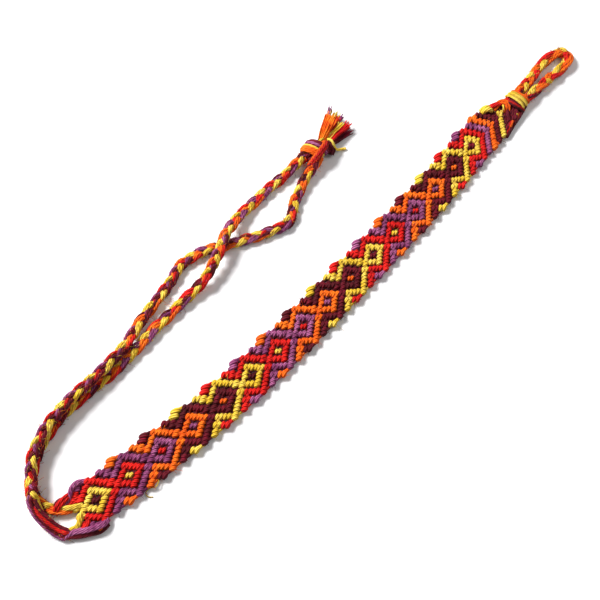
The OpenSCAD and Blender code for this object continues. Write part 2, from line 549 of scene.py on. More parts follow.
def ribbon(skein, route, colours, radius, spread, stack=0.2, start=0.0, turns=0.0, tone=1.0):
    """Threads laid side by side along a route, which roll over each other as they go."""
    path = spline(route, RIBBON_STEP)
    total = travel(path)
    side = directions(path)[0].cross(UP).normalized()
    threads = [[] for _ in colours]
    for point, heading, s in zip(path, directions(path), total):
        side = (side - heading * side.dot(heading)).normalized()
        rise = side.cross(heading)
        for n, points in enumerate(threads):
            roll = math.tau * (start + turns * s / total[-1] + n / len(colours))
            points.append(point + side * spread * math.sin(roll) + rise * stack * math.cos(roll))
    for n, (colour, points) in enumerate(zip(colours, threads)):
        skein.thread(points, radius, colour, tone * (0.95 + 0.1 * (n % 2)))


# Materials


class Number:
    """A number socket, so that a material's maths reads as plain arithmetic."""

    def __init__(self, finish, socket):
        self.finish = finish
        self.socket = socket

    def __add__(self, other):
        return self.finish.maths("ADD", self, other)

    def __sub__(self, other):
        return self.finish.maths("SUBTRACT", self, other)

    def __rsub__(self, other):
        return self.finish.maths("SUBTRACT", other, self)

    def __mul__(self, other):
        return self.finish.maths("MULTIPLY", self, other)

    __radd__ = __add__
    __rmul__ = __mul__


class Finish:
    """A material and the one way of adding nodes to it."""

    def __init__(self, name):
        self.material = bpy.data.materials.new(name)
        self.material.use_nodes = True
        self.nodes = self.material.node_tree.nodes
        self.links = self.material.node_tree.links
        self.nodes.clear()

    def node(self, kind, settings=None, inputs=None, output=0):
        """Adds a node, sets its settings and then its sockets, and gives back one of its outputs."""
        added = self.nodes.new(kind)
        for key, value in (settings or {}).items():
            setattr(added, key, value)
        for key, value in (inputs or {}).items():
            if isinstance(value, Number):
                self.links.new(value.socket, added.inputs[key])
            else:
                added.inputs[key].default_value = value
        return Number(self, added.outputs[output])

    def maths(self, operation, a, b):
        """A Math node on numbers or sockets."""
        return self.node("ShaderNodeMath", {"operation": operation}, {0: a, 1: b})

    def mix(self, factor, a, b):
        """Colour a where factor is 0, and b where it is 1."""
        settings = {"data_type": "RGBA", "blend_type": "MIX", "clamp_factor": True}
        return self.node("ShaderNodeMix", settings, {0: factor, 6: a, 7: b}, 2)

    def surface(self, **sockets):
        """The finished material, with the shader's sockets named with underscores."""
        names = {key.replace("_", " "): value for key, value in sockets.items()}
        shader = self.node("ShaderNodeBsdfPrincipled", {}, names, "BSDF")
        output = self.nodes.new("ShaderNodeOutputMaterial")
        self.links.new(shader.socket, output.inputs["Surface"])
        return self.material

    def noise(self, place, scale, detail):
        """Cloudy pattern from 0 to 1."""
        inputs = {"Vector": place, "Scale": scale, "Detail": detail}
        return self.node("ShaderNodeTexNoise", {}, inputs, "Fac")


def floss(name, shade, body, light, sheen):
    """Cotton floss: plies that twist round the thread, fibres along them, painted shade between the plies, patches of
    painted highlight on their crests, and a soft sheen.
    """
    finish = Finish(name)
    uv = finish.node("ShaderNodeUVMap", {"uv_map": "thread"}, {}, "UV")
    along = finish.node("ShaderNodeSeparateXYZ", {}, {0: uv}, 0)
    girth = finish.node("ShaderNodeSeparateXYZ", {}, {0: uv}, 1)
    # The tone attribute varies the threads at random and also carries painted shade
    tone = finish.node("ShaderNodeAttribute", {"attribute_name": "tone"}, {}, "Fac")
    place = finish.node("ShaderNodeTexCoord", {}, {}, "Object")

    turn = (girth * PLIES + along * (PLIES / PLY_TWIST)) * math.tau
    ply = finish.maths("SINE", turn, 0.0) * 0.5 + 0.5
    fibre_turn = girth * FIBRE_ROUND + along * FIBRE_TWIST
    fibre_place = finish.node(
        "ShaderNodeCombineXYZ", {}, {0: along * FIBRE_ALONG, 1: fibre_turn, 2: tone * FIBRE_TONE}
    )
    fibre = finish.noise(fibre_place, 1.0, 3.0)
    patch = finish.noise(place, 420.0, 2.0)

    # Painted shade in the grooves between the plies, deeper where the tone is low
    lit = (ply * 0.6 + fibre * 0.65) * tone
    colour = finish.mix(lit, shade, body)
    # Patches of painted highlight on the ply crests
    colour = finish.mix((patch - 0.4) * 2.4 * ply * tone, colour, light)
    height = ply * 0.7 + fibre * 0.6
    bump = finish.node("ShaderNodeBump", {}, {"Strength": 0.9, "Distance": BUMP_DEPTH, "Height": height})
    return finish.surface(
        Base_Color=colour,
        Roughness=0.82 - ply * 0.12,
        Normal=bump,
        Specular_IOR_Level=0.2,
        Sheen_Weight=0.12,
        Sheen_Roughness=0.45,
        Sheen_Tint=sheen,
    )


def table_top():
    """Plain pale floor with the faintest unevenness."""
    finish = Finish("table_top")
    place = finish.node("ShaderNodeTexCoord", {}, {}, "Object")
    patch = finish.noise(place, 6.0, 2.0)
    colour = finish.mix(patch, (0.80, 0.80, 0.82, 1), (0.86, 0.86, 0.87, 1))
    return finish.surface(Base_Color=colour, Roughness=0.7)


# Dyes with painted light: painted shade between the plies, body, painted highlight on lit fibres, sheen
DYES_AND_PAINTED_LIGHT = {
    "yellow": [(0.24, 0.11, 0.003, 1), (0.80, 0.52, 0.025, 1), (0.98, 0.82, 0.19, 1), (1.0, 0.8, 0.3, 1)],
    "red": [(0.12, 0.0, 0.0, 1), (0.62, 0.002, 0.001, 1), (0.98, 0.02, 0.01, 1), (1.0, 0.12, 0.08, 1)],
    "purple": [(0.04, 0.002, 0.02, 1), (0.21, 0.03, 0.115, 1), (0.64, 0.20, 0.42, 1), (0.9, 0.5, 0.8, 1)],
    "orange": [(0.32, 0.015, 0.0, 1), (0.90, 0.12, 0.0, 1), (1.0, 0.28, 0.01, 1), (1.0, 0.45, 0.15, 1)],
    "maroon": [(0.008, 0.0, 0.0, 1), (0.09, 0.0, 0.006, 1), (0.30, 0.002, 0.025, 1), (0.6, 0.05, 0.12, 1)],
}
FINISHES = [floss(f"{name}_floss", *DYES_AND_PAINTED_LIGHT[name]) for name in COLOURS]


# Band


def deselect():
    """Nothing selected, so that the next operator acts on new things only."""
    bpy.ops.object.select_all(action="DESELECT")


def knot_wraps(lean):
    """One knot: two turns of thread round a slanting carrier, modelled once for each way it leans."""
    deselect()
    for side in (-1, 1):
        step = side * WRAP_OFFSET * MM
        bpy.ops.mesh.primitive_torus_add(
            major_segments=8,
            minor_segments=8,
            major_radius=WRAP_R * MM,
            minor_radius=WRAP_THREAD_R * MM,
            location=(step * math.cos(CARRIER_SLANT), -lean * step * math.sin(CARRIER_SLANT), 0),
            rotation=(math.pi / 2, 0, WRAP_LEAN[lean]),
            generate_uvs=True,
        )
        wrap = bpy.context.object
        bpy.ops.object.transform_apply(location=True, rotation=True, scale=True)
        if side < 0:
            first = wrap
    first.select_set(True)
    bpy.context.view_layer.objects.active = first
    bpy.ops.object.join()
    knot = bpy.context.object
    uv_map = knot.data.uv_layers[0]
    uv_map.name = "thread"
    round_trip = math.tau * WRAP_R
    for corner in uv_map.data:
        corner.uv = (corner.uv[0] * round_trip, corner.uv[1])
    knot.data.shade_smooth()
    deselect()
    return knot


def knot_lean(c, r):
    """1 where the carrier falls towards the loop, and -1 where it rises."""
    before_centre = (c + HALF_MOTIF) % COLUMNS_PER_MOTIF < HALF_MOTIF and c + abs(r) < FIRST_CHEVRON
    return (-1 if before_centre else 1) * (1 if r >= 0 else -1)


def stands_out(c, r):
    """True for the single edge knots between two diamonds, which bulge out of the edge."""
    return abs(r) == EDGE_ROW and (c + HALF_MOTIF) % COLUMNS_PER_MOTIF == 1


def band_knots():
    """All the knots, joined into one piece for each colour."""
    masters = {lean: knot_wraps(lean) for lean in (-1, 1)}
    dice = random.Random(KNOT_SEED)
    copies = {colour: [] for colour in range(len(COLOURS))}
    for c, r in knot_sites():
        place = (lattice(c, r) + TO_MIDDLE) * MM
        heading = math.atan2(*(lattice(c + 1, r) - lattice(c - 1, r)).yx)
        turn = heading + math.radians(dice.uniform(*KNOT_TURNS))
        size = Vector([dice.uniform(*spread) for spread in (KNOT_SIZES, KNOT_SIZES, KNOT_HEIGHTS)])
        if r == 0 and c % COLUMNS_PER_MOTIF == 0 and c < FIRST_CHEVRON - COLUMNS_PER_MOTIF:
            size *= CENTRE_KNOT_SIZE
        if stands_out(c, r):
            edge = 1 if r > 0 else -1
            place = (lattice(c, r, 0, EDGE_KNOT_OUT[edge]) + TO_MIDDLE) * MM
            size.xy *= EDGE_KNOT_SIZE[edge]
        copy = bpy.data.objects.new("knot", masters[knot_lean(c, r)].data.copy())
        bpy.context.scene.collection.objects.link(copy)
        lift = Matrix.Translation(place + Vector((0, 0, BAND_MIDDLE_Z * MM)))
        copy.data.transform(lift @ Matrix.Rotation(turn, 4, "Z") @ Matrix.Diagonal(size).to_4x4())
        shade = dice.uniform(*KNOT_TONES)
        # Painted shade: darkest halfway up, where the knots press on each other
        depths = [abs(point.co.z / MM / BAND_THICKNESS - 0.5) for point in copy.data.vertices]
        tone = copy.data.attributes.new("tone", "FLOAT", "POINT")
        tones = [shade * min(1, PAINTED_CREASE_SHADE + CREASE_SHADE_FADE * depth) for depth in depths]
        tone.data.foreach_set("value", tones)
        copies[knot_colour(c, r)].append(copy)
    for master in masters.values():
        bpy.data.objects.remove(master)
    pieces = []
    for colour, knots in copies.items():
        deselect()
        for knot in knots:
            knot.select_set(True)
        bpy.context.view_layer.objects.active = knots[0]
        bpy.ops.object.join()
        piece = bpy.context.object
        piece.name = f"{COLOURS[colour]}_knots"
        piece.data.name = piece.name
        piece.data.materials.clear()
        piece.data.materials.append(FINISHES[colour])
        pieces.append(piece)
    deselect()
    return pieces


def carried_threads():
    """The threads that run hidden inside the knots, which close the gaps between them; along the rows they are maroon
    and darkened, a painted shade in the gaps.
    """
    skein = Skein()
    dice = random.Random(CARRIED_SEED)
    for r in range(-EDGE_ROW, EDGE_ROW + 1):
        columns = range(FIRST_COLUMN, LAST_CHEVRON - abs(r) + 1)
        path = [lattice(c, r * CARRIED_SHARE, BAND_MIDDLE_Z - CARRIED_DROP) for c in columns]
        skein.thread(path, CARRIED_R, MAROON, dice.uniform(*CARRIED_PAINTED_SHADE_TONES), sides=6)
        gathered = []
        for t in (0, 1, 2):
            v = GATHER_V + r * (GATHER_PITCH - GATHER_CLOSING * t)
            gathered.append(Vector((GATHER_U + GATHER_STEP * t, v, GATHER_Z)))
        path = spline(path[-2:] + gathered, BRAID_STEP)
        skein.thread(path, CARRIED_R, MAROON, dice.uniform(*GATHERED_TONES))
    sites = set(knot_sites())
    for c, r in sorted(sites):
        for step in (-1, 1):
            if (c + 1, r + step) in sites and knot_colour(c + 1, r + step) == knot_colour(c, r):
                path = [lattice(c + t, r + step * t, BAND_MIDDLE_Z + LINK_RISE) for t in (0, 0.5, 1)]
                skein.thread(path, LINK_R, knot_colour(c, r), LINK_TONE, sides=6)
    return skein.build("carried_threads")


# How far the neck's threads rise and fall as they roll
NECK_STACK = 0.12
# Threads of the neck, from the last knots into the binding:
# colours, thread radius, spread of the threads, tone, places
NECK = [
    ([MAROON] * 6, 0.5, 2.0, 0.5, [(51.5, 0.6, 0.9), (56, 0.5, 0.9), (60, 0.4, 1.1), (63, 0.5, 1.4)]),
    (
        [MAROON, RED],
        0.45,
        0.4,
        0.9,
        [(53.0, 4.9, 0.9), (56.5, 4.3, 1.0), (59.0, 3.4, 1.1), (62.0, 2.3, 1.4)],
    ),
    (
        [MAROON, RED],
        0.42,
        0.4,
        0.6,
        [(51.5, -4.0, 0.7), (55.0, -3.2, 0.8), (58.5, -2.6, 1.0), (62.5, -1.7, 1.2)],
    ),
    (
        [YELLOW, YELLOW],
        0.62,
        0.6,
        1.15,
        [(52.9, 5.3, 1.1), (53.5, 5.0, 2.0), (54.4, 4.5, 2.2), (55.2, 4.0, 1.2)],
    ),
    (
        [RED, RED],
        0.48,
        0.42,
        1.0,
        [(54.8, 4.9, 1.0), (56.0, 4.3, 1.7), (57.2, 3.6, 2.0), (58.6, 2.9, 1.9), (61.0, 2.5, 1.5)],
    ),
    (
        [ORANGE, ORANGE, ORANGE],
        0.44,
        0.5,
        1.0,
        [
            (55.8, 3.4, 1.0),
            (57.3, 3.4, 1.8),
            (58.5, 2.9, 2.2),
            (58.9, 1.8, 2.1),
            (58.2, 0.9, 1.7),
            (57.2, 0.6, 1.0),
        ],
    ),
    ([YELLOW], 0.24, 0.0, 1.4, [(58.0, 2.4, 2.0), (57.6, 2.0, 2.5), (57.1, 1.5, 2.4), (56.8, 1.2, 1.9)]),
    (
        [RED, MAROON, RED, MAROON],
        0.38,
        0.55,
        0.5,
        [(60.3, 2.9, 1.1), (60.0, 1.5, 2.3), (60.1, -0.2, 2.5), (60.5, -1.6, 2.1), (61.2, -2.3, 1.1)],
    ),
    ([MAROON], 0.46, 0.0, 1.0, [(58.2, 0.9, 1.4), (56.7, -0.4, 1.7), (55.8, -1.9, 1.2)]),
    ([MAROON], 0.46, 0.0, 1.0, [(59.6, -1.0, 1.7), (58.6, -2.0, 1.5), (56.9, -2.5, 1.1)]),
    ([YELLOW, ORANGE], 0.3, 0.22, 0.4, [(59.4, -1.7, 1.4), (58.6, -2.2, 1.6), (57.6, -2.6, 1.0)]),
    (
        [ORANGE, RED],
        0.3,
        0.24,
        0.6,
        [(54.4, -3.0, 1.0), (55.0, -2.8, 1.5), (55.7, -2.5, 1.6), (56.3, -2.2, 1.0)],
    ),
]


def neck_threads():
    """Gathered threads between the last chevron and the binding."""
    skein = Skein()
    for colours, radius, spread, tone, places in NECK:
        ribbon(skein, places, colours, radius, spread, NECK_STACK, 0.25 / len(colours), 0.0, tone)
    return skein.build("neck_threads")


def edge_threads():
    """Threads that turn back along both edges from one edge knot to the next."""
    skein = Skein()
    for c in range(FIRST_COLUMN + 1, LAST_CHEVRON - EDGE_ROW, 2):
        for edge in (-1, 1):
            r = edge * EDGE_ROW
            out, drop = (EDGE_BULGE[edge], 0.0) if stands_out(c, r) else (0.0, EDGE_DROP)
            route = []
            for on, rise, least, share in EDGE_TURN:
                route.append(lattice(c + on, r, BAND_MIDDLE_Z - drop + rise, least + share * out))
            path = spline(route, THREAD_STEP)
            skein.thread(path, EDGE_THREAD_R, knot_colour(c, r), EDGE_THREAD_TONE)
    return skein.build("edge_threads")


# Braids

# The threads of each strand of a braid: colours, thread radius, how far they spread and stack,
# and the turns of the threads round each other, as length along the braid and turns made by then
YELLOW_STRAND = ([YELLOW, YELLOW], 0.5, 0.3, 0.12, [(0, 0), (130, 11)])
OUTER_STRANDS = [
    YELLOW_STRAND,
    (
        [PURPLE, PURPLE, MAROON, MAROON],
        0.4,
        0.52,
        0.16,
        [(0, 0.45), (20, 0.6), (58, 0.63), (64, 0.4), (95, 0.9), (130, 1.4)],
    ),
    (
        [RED, MAROON, ORANGE, ORANGE],
        0.43,
        0.6,
        0.16,
        [(0, -0.12), (55, -0.12), (62, 0.38), (95, 1.6), (130, 2.6)],
    ),
]
INNER_STRANDS = [
    YELLOW_STRAND,
    (
        [PURPLE, PURPLE, MAROON, MAROON],
        0.4,
        0.52,
        0.16,
        [(0, 0.35), (40, 0.7), (60, 1.0), (95, 1.9), (130, 2.4)],
    ),
    ([RED, RED, ORANGE, ORANGE], 0.43, 0.62, 0.16, [(0, 0.4), (40, 0.2), (60, 0.5), (95, 1.6), (130, 2.6)]),
]
LOOP_STRANDS = [
    ([YELLOW, YELLOW], 0.5, 0.3, 0.12, [(0, 0), (42, 4)]),
    ([MAROON, RED, RED, RED], 0.4, 0.52, 0.16, [(0, 0.1), (8, 0.45), (34, 0.6), (42, 1.0)]),
    ([RED, ORANGE, ORANGE, ORANGE], 0.42, 0.6, 0.16, [(0, 0.3), (42, 0.7)]),
]
# Plait: how far its strands swing sideways and upright, and the length of one full pattern
BRAID_ACROSS = 0.64
BRAID_OVER = 0.42
BRAID_PITCH = 8.8
# How much a strand narrows at the plait's edge
EDGE_SQUEEZE = 0.4
TIE_SCALE = 1.05
LOOP_SCALE = 1.08
# A plait's threads swell from this share of their girth, by this much a point
FIRST_GIRTH = 0.3
GIRTH_STEP = 0.14
# Points of each plait that its threads from the band follow
SHARED_POINTS = slice(2, 8)

# Turns of each plait, as the yellow strand shows them: length along it, turns made by then
OUTER_TURNS = [
    (0, 0.02),
    (10, 0.05),
    (16, 0.17),
    (20, 0.9),
    (47, 3.9),
    (57, 4.9),
    (69, 5.9),
    (85, 7.9),
    (102, 9.9),
    (120, 11.9),
    (131, 13.1),
]
INNER_TURNS = [
    (0, -5.42),
    (7, -4.62),
    (56, 0.9),
    (67, 1.9),
    (77.5, 2.9),
    (85, 3.9),
    (94.5, 4.9),
    (113, 6.9),
    (119, 7.6),
]
LOOP_TURNS = [
    (0, -0.05),
    (3.6, 0.38),
    (7.4, 0.88),
    (12, 1.38),
    (19, 1.7),
    (22, 2.08),
    (28.9, 2.38),
    (32.4, 2.7),
    (34.2, 3.08),
    (38.8, 3.38),
    (42, 3.6),
]


def braid(skein, route, strands, turns, hand, begin, scale):
    """Plaits three strands along a route from begin on, and gives back each colour's first points."""
    path = spline(route, BRAID_STEP)
    total = travel(path)
    headings = directions(path)
    dice = random.Random(BRAID_SEED)
    first_points = {colour: [] for colour in range(len(COLOURS))}
    across = BRAID_ACROSS * scale
    for strand, (colours, radius, spread, stack, rolls) in enumerate(strands):
        for n, colour in enumerate(colours):
            points = []
            for point, heading, s in zip(path, headings, total):
                if s < begin:
                    continue
                side = heading.cross(UP).normalized()
                rise = side.cross(heading)
                angle = math.tau * (lookup(turns, s, 1) + hand * strand / 3)
                slope = across * math.tau / BRAID_PITCH * math.cos(angle)
                lean = math.hypot(1, slope)
                roll = math.tau * (lookup(rolls, s, 1) + n / len(colours))
                squeeze = 1 - EDGE_SQUEEZE * math.sin(angle) ** 2
                flat = spread * scale * squeeze * math.sin(roll)
                up = stack * scale * math.cos(roll)
                shift = side * (across * math.sin(angle) + flat / lean) - heading * (flat * slope / lean)
                place = point + shift + rise * (up - BRAID_OVER * scale * math.sin(2 * angle))
                place.z = max(place.z, radius * scale)
                points.append(place)
            girths = [radius * scale * min(1, FIRST_GIRTH + GIRTH_STEP * k) for k in range(len(points))]
            skein.thread(points, girths, colour, dice.uniform(0.92, 1.08))
            first_points[colour].append(points[SHARED_POINTS])
    return first_points


def tie(name, node, route, strands, turns, hand, begin, slot_name):
    """One tie's plait, with its middle line in metres and its first points."""
    skein = Skein()
    first_points = braid(skein, route, strands, turns, hand, begin, TIE_SCALE)
    piece = skein.build(name)
    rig.ride(piece, "root")
    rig.replaces(piece, node)
    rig.slot(piece, slot_name)
    path = spline(route, BRAID_STEP)
    path = [(p + TO_MIDDLE) * MM for p, s in zip(path, travel(path)) if s >= begin]
    return piece, path[::2] + path[-1:], first_points


# Where each thread of a tie leaves the band: colour, places on the way to the braid
OUTER_ROOTS = {
    PURPLE: [
        (-83.6, -2.4, 1.0),
        (-85.1, -2.6, 1.6),
        (-86.6, -2.0, 1.9),
        (-88.6, -0.7, 1.7),
        (-90.2, 0.6, 1.6),
    ],
    MAROON: [(-84.2, -3.0, 0.7), (-86.3, -3.0, 0.8), (-88.6, -1.6, 0.9), (-90.3, -0.4, 0.9)],
    ORANGE: [(-84.2, -2.0, 0.9), (-86.2, -2.6, 1.0), (-88.0, -1.4, 0.8), (-89.8, 0.3, 0.8)],
    YELLOW: [(-86.4, 2.6, 1.0), (-87.4, 1.9, 1.8), (-88.4, 1.2, 1.9), (-89.4, 1.0, 1.7), (-90.4, 1.5, 1.4)],
    RED: [(-86.6, 0.5, 0.9), (-87.4, -0.1, 1.7), (-88.4, 0.0, 1.6), (-89.4, 0.5, 1.3), (-90.3, 1.4, 1.1)],
}
INNER_ROOTS = {
    YELLOW: [(-85.4, 3.7, 1.0), (-86.3, 4.2, 1.6), (-87.4, 4.9, 1.8), (-88.4, 5.8, 1.6), (-89.3, 6.7, 1.1)],
    PURPLE: [
        (-81.8, 7.4, 0.9),
        (-83.0, 8.0, 1.7),
        (-84.4, 8.0, 1.9),
        (-85.5, 7.4, 2.0),
        (-86.5, 6.8, 1.6),
        (-88, 6.6, 1.1),
    ],
    MAROON: [(-84.6, 5.6, 0.8), (-86.0, 6.4, 0.9), (-87.3, 7.5, 1.2), (-88.6, 7.9, 1.4)],
    ORANGE: [(-85.4, 3.8, 0.7), (-86.8, 4.3, 0.9), (-88.2, 4.9, 1.1), (-89.3, 5.6, 1.3)],
}
# Radius and tone of the threads of each colour
ROOT_THREADS = {
    YELLOW: (0.44, 1.0),
    RED: (0.46, 1.0),
    PURPLE: (0.45, 1.4),
    ORANGE: (0.45, 1.0),
    MAROON: (0.45, 1.0),
}
# How far apart the threads of one colour lie there, for a radius of 1
ROOT_SPREAD = Vector((0.2, 0.9, 0.4))
ROOT_CLOSENESS = 0.8
# How much darker each next thread of one colour is
ROOT_SHADING = 0.08
# Red threads that cross over the inner tie's first strands, and those that fill the space below
RED_CROSSING = [
    (-84.6, 6.2, 1.0),
    (-85.6, 7.0, 1.5),
    (-86.6, 7.3, 2.0),
    (-88.2, 7.2, 2.2),
    (-89.6, 7.0, 2.0),
    (-90.6, 6.5, 1.1),
]
RED_FILLING = [(-84.4, 4.9, 0.9), (-85.6, 5.6, 1.1), (-86.8, 6.2, 1.2), (-88.2, 6.6, 1.1)]


def tie_roots(first_points):
    """The threads that fan out of the band's end into each tie's braid."""
    skein = Skein()
    for roots, begin in zip((OUTER_ROOTS, INNER_ROOTS), first_points):
        for colour, places in roots.items():
            radius, tone = ROOT_THREADS[colour]
            for n, first in enumerate(begin[colour]):
                side = ROOT_SPREAD * (n - 0.5) * radius * ROOT_CLOSENESS
                route = [Vector(p) + side for p in places] + first
                skein.thread(spline(route, THREAD_STEP), radius, colour, tone - ROOT_SHADING * n)
    for places in (RED_CROSSING, RED_FILLING):
        ribbon(skein, places, [RED, RED, RED], 0.4, 0.4, 0.15, 0.1)
    return skein.build("tie_roots")


# Binding, end knot and tassel

BINDING_START = Vector((61.2, 0.75, 1.6))
BINDING_PITCH = 0.6
BINDING_DRIFT = 0.25
BINDING_HALF_WIDTH = 2.7
BINDING_HALF_HEIGHT = 1.2
BINDING_R = 0.3
# Turns of the binding: colour, tone, girth, tilt in degrees. The tones alternate bright and dark as painted light and
# shade that set the turns apart.
BINDING_TURNS = [
    (YELLOW, 1.5, 1.06, -1),
    (YELLOW, 0.5, 0.97, -4),
    (YELLOW, 1.1, 1.05, 2),
    (YELLOW, 0.6, 0.96, -2),
    (ORANGE, 0.9, 0.98, 2),
]
# Steps of one turn, and the power that makes it squarer than an ellipse where it is below 1
TURN_STEPS = 24
TURN_POWER = 0.9


def oval_turn(centre, tilt, half_width, half_height):
    """One turn round the neck, which drifts along it."""
    turned = Matrix.Rotation(tilt, 3, "Z")
    ring = []
    for step in range(TURN_STEPS + 1):
        angle = math.tau * step / TURN_STEPS
        along = (step / TURN_STEPS - 0.5) * BINDING_DRIFT
        flat = math.copysign(abs(math.cos(angle)) ** TURN_POWER, math.cos(angle))
        high = math.copysign(abs(math.sin(angle)) ** TURN_POWER, math.sin(angle))
        ring.append(centre + turned @ Vector((along, half_width * flat, half_height * high)))
    return ring


def binding_turns():
    """Thread wound round the neck, the last turn orange."""
    skein = Skein()
    for k, (colour, tone, girth, tilt) in enumerate(BINDING_TURNS):
        centre = BINDING_START + Vector((k * BINDING_PITCH, 0, 0))
        half_width, half_height = BINDING_HALF_WIDTH * girth, BINDING_HALF_HEIGHT * girth
        turn = oval_turn(centre, math.radians(tilt), half_width, half_height)
        # The turn's tone paints it lighter or darker than the next: painted light and shade between the turns
        skein.thread(turn, BINDING_R, colour, tone)
    return skein.build("binding_turns")


# The turn of the end knot goes round both braids: colour, place along them, how far out it bulges
KNOT_MIDDLE = Vector((14.0, 28.7, 2.25))
KNOT_HALF_WIDTH = 2.45
KNOT_HALF_HEIGHT = 1.55
KNOT_SLANT = 0.3
KNOT_THREAD_R = 0.44
KNOT_STEPS = 28
KNOT_TURN = [
    (ORANGE, -2.1, 0.84),
    (ORANGE, -1.6, 1.0),
    (ORANGE, -1.1, 1.04),
    (YELLOW, -0.6, 1.06),
    (MAROON, -0.1, 0.98),
    (PURPLE, 0.45, 1.12),
    (MAROON, 0.95, 1.14),
    (MAROON, 1.45, 1.02),
]
# How the threads of the knot's ribbons begin round each other, and turn on their way
KNOT_RIBBON_START = 0.1
KNOT_RIBBON_TURNS = 0.2
# The rest of the knot: colours, tone, thread radius, spread, stack, places
KNOT_RIBBONS = [
    ([MAROON] * 6, 0.8, 0.6, 1.4, 0.7, [(10.6, 28.2, 1.9), (13, 28.1, 2.0), (16.8, 28.2, 2.2)]),
    (
        [RED, MAROON, MAROON, MAROON, ORANGE, RED],
        0.55,
        0.42,
        0.62,
        0.35,
        [
            (9.5, 26.2, 1.8),
            (11.2, 26.3, 2.7),
            (12.8, 26.3, 3.5),
            (14.4, 26.6, 3.9),
            (16.0, 27.1, 3.7),
            (17.0, 28.0, 2.8),
        ],
    ),
    (
        [MAROON] * 5,
        0.7,
        0.42,
        0.6,
        0.35,
        [(15.8, 27.8, 1.2), (16.7, 27.4, 2.5), (17.3, 26.5, 2.7), (17.2, 25.6, 1.9), (16.4, 25.3, 0.9)],
    ),
    (
        [ORANGE, MAROON, YELLOW],
        0.8,
        0.4,
        0.5,
        0.2,
        [(15.0, 28.6, 3.4), (16.2, 28.4, 3.7), (17.2, 28.7, 3.1)],
    ),
]


def knotted_end():
    """The knot that joins the ties: a turn round both, and threads that pass over and through it."""
    skein = Skein()
    for colour, along, bulge in KNOT_TURN:
        ring = []
        for step in range(KNOT_STEPS + 1):
            angle = math.tau * step / KNOT_STEPS
            y = KNOT_HALF_WIDTH * bulge * math.cos(angle)
            z = KNOT_HALF_HEIGHT * bulge * math.sin(angle)
            ring.append(KNOT_MIDDLE + Vector((along - KNOT_SLANT * y, y, z)))
        skein.thread(ring, KNOT_THREAD_R, colour, 1.0)
    for colours, tone, radius, spread, stack, places in KNOT_RIBBONS:
        start, turned = KNOT_RIBBON_START, KNOT_RIBBON_TURNS
        ribbon(skein, places, colours, radius, spread, stack, start, turned, tone)
    return skein.build("knotted_end")


# Tassel: colour, number of fine strands, root, bend, middle of the cut ends, how far they fan out
TASSEL = [
    (ORANGE, 68, (16.9, 29.0, 2.9), (20.5, 30.5, 3.3), (24.4, 32.2, 2.7), (0.6, -1.25, 0.1)),
    (RED, 37, (17.2, 28.5, 2.7), (21.2, 29.6, 2.9), (25.0, 30.7, 2.3), (0.3, -0.6, -0.3)),
    (YELLOW, 20, (17.8, 28.2, 2.6), (21.6, 28.8, 2.4), (25.0, 29.3, 2.0), (0.1, -0.5, 0.0)),
    (RED, 31, (18.0, 27.8, 2.4), (22.0, 27.9, 2.0), (26.2, 28.1, 1.5), (0.1, -0.8, 0.1)),
    (MAROON, 31, (17.9, 27.5, 2.0), (21.4, 27.1, 1.2), (25.2, 27.0, 0.8), (0.2, -0.8, 0.0)),
    (PURPLE, 12, (17.2, 29.4, 2.2), (21.5, 31.8, 2.2), (26.7, 34.5, 2.0), (0.0, 0.12, 0.12)),
    (PURPLE, 17, (17.6, 28.6, 2.2), (22.4, 29.6, 2.0), (26.8, 31.0, 1.7), (0.2, -0.5, 0.2)),
    (YELLOW, 15, (17.2, 29.0, 2.3), (21.6, 30.9, 2.2), (26.6, 32.8, 1.7), (0.5, -0.9, 0.3)),
    (MAROON, 24, (17.4, 28.8, 1.6), (21.0, 29.8, 1.2), (24.6, 30.6, 0.8), (0.3, -1.6, 0.1)),
]
TASSEL_STRAND_R = 0.125
# How unevenly the strands are cut: least and most of their last stretch
TASSEL_CUTS = (-0.14, 0.06)
TASSEL_TONES = (1.1, 1.8)
# One pale end that hangs out of the knot
PALE_END = [
    (18.1, 28.0, 3.1),
    (18.2, 26.9, 3.6),
    (18.0, 25.9, 3.1),
    (18.0, 25.3, 2.0),
    (18.6, 24.9, 1.0),
    (19.5, 24.6, 0.6),
    (20.6, 23.9, 0.45),
]
PALE_END_R = 0.34
PALE_END_TONE = 1.8


def scatter(dice, *spreads):
    """A vector drawn at random, with a spread for each axis."""
    return Vector([dice.gauss(0, spread) for spread in spreads])


def tassel_threads():
    """The cut threads past the knot, fanned out into their fine strands."""
    skein = Skein()
    dice = random.Random(TASSEL_SEED)
    for colour, count, *places in TASSEL:
        root, bend, tip, fan = [Vector(place) for place in places]
        for _ in range(count):
            place = dice.uniform(-1, 1)
            loose = scatter(dice, 0.2, 0.2, 0.25)
            end = tip + (tip - bend) * dice.uniform(*TASSEL_CUTS)
            points = [
                root + fan * place * 0.5 + loose * 0.7,
                root.lerp(bend, 0.5) + fan * place * 0.66 + loose,
                bend + fan * place * 0.82 + loose * 0.9,
                bend.lerp(end, 0.55) + fan * place * 0.9 + loose * 1.1,
                end + fan * place + loose * 1.6,
            ]
            for point in points[1:]:
                point += scatter(dice, 0.08, 0.08, 0.08)
                point.z = max(point.z, TASSEL_STRAND_R)
            tone = dice.uniform(*TASSEL_TONES)
            skein.thread(spline(points, STRAND_STEP), TASSEL_STRAND_R, colour, tone, sides=4, plies=1)
    skein.thread(spline(PALE_END, 0.35), PALE_END_R, YELLOW, PALE_END_TONE)
    return skein.build("tassel_threads")


